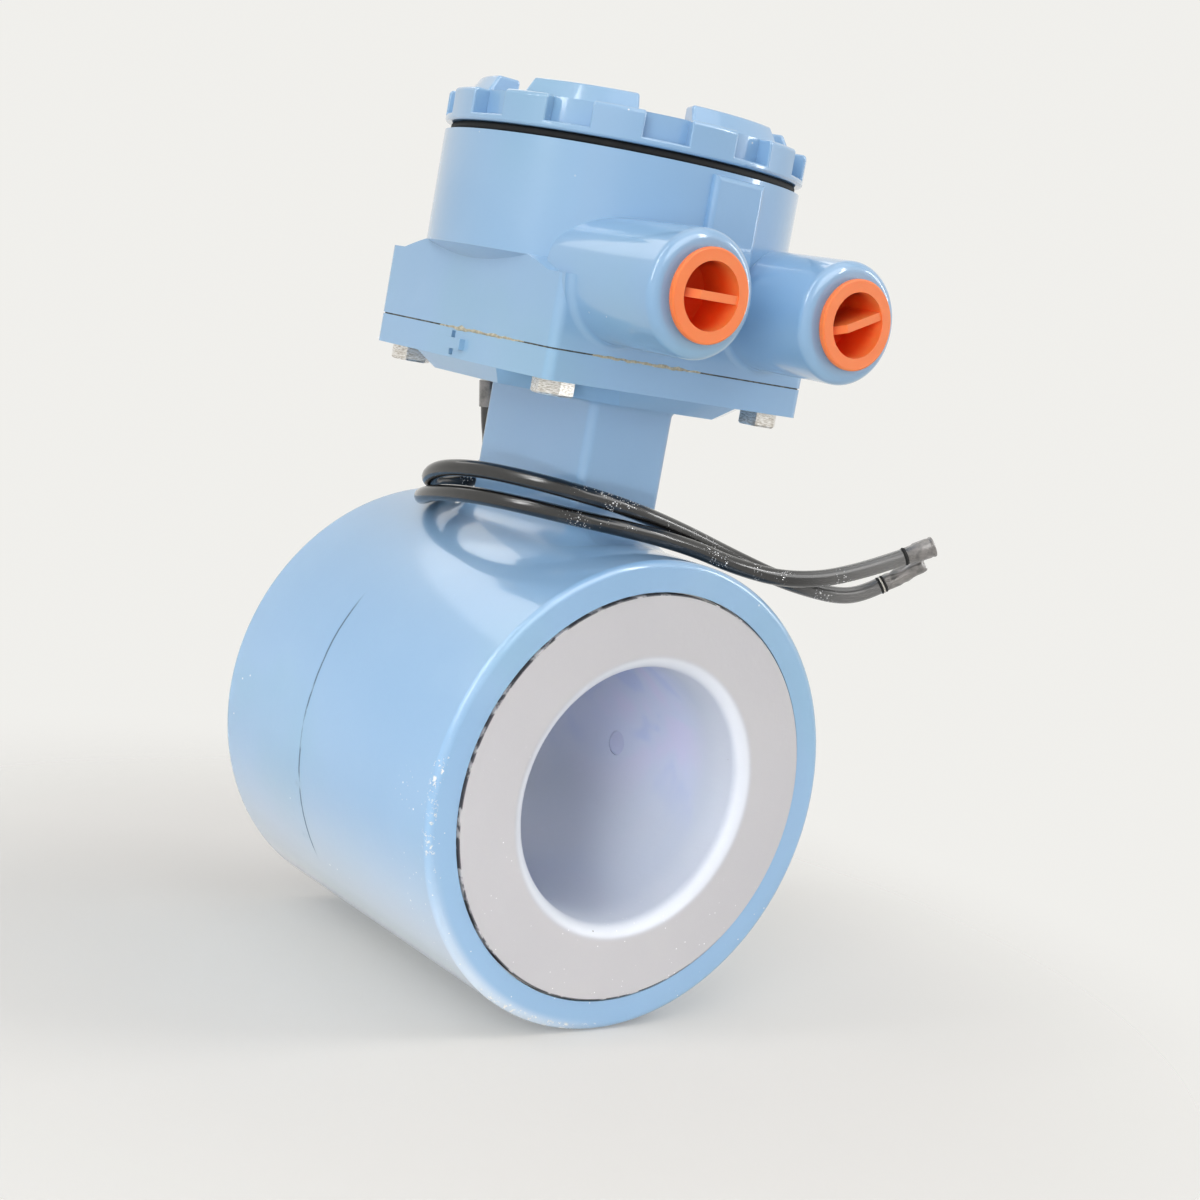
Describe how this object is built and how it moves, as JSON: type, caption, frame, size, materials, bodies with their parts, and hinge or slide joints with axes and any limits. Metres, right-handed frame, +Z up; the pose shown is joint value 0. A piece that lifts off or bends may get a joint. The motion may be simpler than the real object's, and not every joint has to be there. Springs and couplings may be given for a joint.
{
  "type": "magnetic flow meter",
  "caption": "Wafer magnetic flow meter with a lined bore, a square-based junction box with a scalloped screw cover, plugged conduit entries and ground straps.",
  "frame": {"origin": "centre of the flow bore, half way along the meter", "axes": "+Y along the flow bore, away from the conduit entries; +Z up through the neck to the junction box"},
  "size_m": [0.1525, 0.1387, 0.2502],
  "materials": {
    "housing_paint": "gloss",
    "liner_polymer": "satin",
    "stainless": "machined",
    "bolt_steel": "plain",
    "insulator": "matte",
    "copper_winding": "enamelled wire",
    "core_iron": "plain",
    "gasket_tan": "matte",
    "seal_rubber": "matte",
    "plug_orange": "moulded",
    "terminal_moulding": "moulded",
    "tinned_lug": "tinned",
    "strap_jacket": "gloss",
    "black_sleeve": "satin"
  },
  "bodies": {
    "meter": {"block_screws": "bolt_steel", "body_housing": "housing_paint", "box_bolts": "bolt_steel", "box_can": "housing_paint", "box_gasket": "gasket_tan", "coil_lower": "copper_winding", "coil_upper": "copper_winding", "conduit_boss_left": "housing_paint", "conduit_boss_right": "housing_paint", "electrode_left": "stainless", "electrode_nuts": "stainless", "electrode_right": "stainless", "electrode_sleeve_left": "insulator", "electrode_sleeve_right": "insulator", "end_ring_inlet": "stainless", "end_ring_outlet": "stainless", "end_sleeve_lower": "black_sleeve", "end_sleeve_upper": "black_sleeve", "flow_tube": "stainless", "flux_return_band": "core_iron", "ground_screw": "bolt_steel", "ground_strap_lower": "strap_jacket", "ground_strap_upper": "strap_jacket", "inner_ground_screw": "bolt_steel", "inner_ground_washer": "bolt_steel", "junction_box": "housing_paint", "liner": "liner_polymer", "lug_sleeve_lower": "black_sleeve", "lug_sleeve_upper": "black_sleeve", "neck": "housing_paint", "pole_core_lower": "core_iron", "pole_core_upper": "core_iron", "strap_lug_lower": "tinned_lug", "strap_lug_upper": "tinned_lug", "terminal_block": "terminal_moulding", "terminal_screws": "bolt_steel"},
    "seal_ring": {"cover_seal": "seal_rubber"},
    "screw_cover": {"cover": "housing_paint", "cover_roof": "housing_paint"},
    "plug_left": {"conduit_plug_left": "plug_orange"},
    "plug_right": {"conduit_plug_right": "plug_orange"}
  },
  "joints": [
    {"name": "cover_lift", "type": "slide", "parent": "meter", "child": "seal_ring", "axis": [0, 0, 1], "range_m": [0, 0.012]},
    {"name": "cover_turn", "type": "hinge", "parent": "seal_ring", "child": "screw_cover", "pos_m": [0, 0, 0.17], "axis": [0, 0, 1], "range_deg": [0, 2160]},
    {"name": "plug_left_pull", "type": "slide", "parent": "meter", "child": "plug_left", "axis": [0, -1, 0], "range_m": [0, 0.018]},
    {"name": "plug_right_pull", "type": "slide", "parent": "meter", "child": "plug_right", "axis": [0, -1, 0], "range_m": [0, 0.018]}
  ],
  "couplings": [
    {"joint": "cover_lift", "follows": "cover_turn", "m_per_rad": 0.0003183}
  ]
}
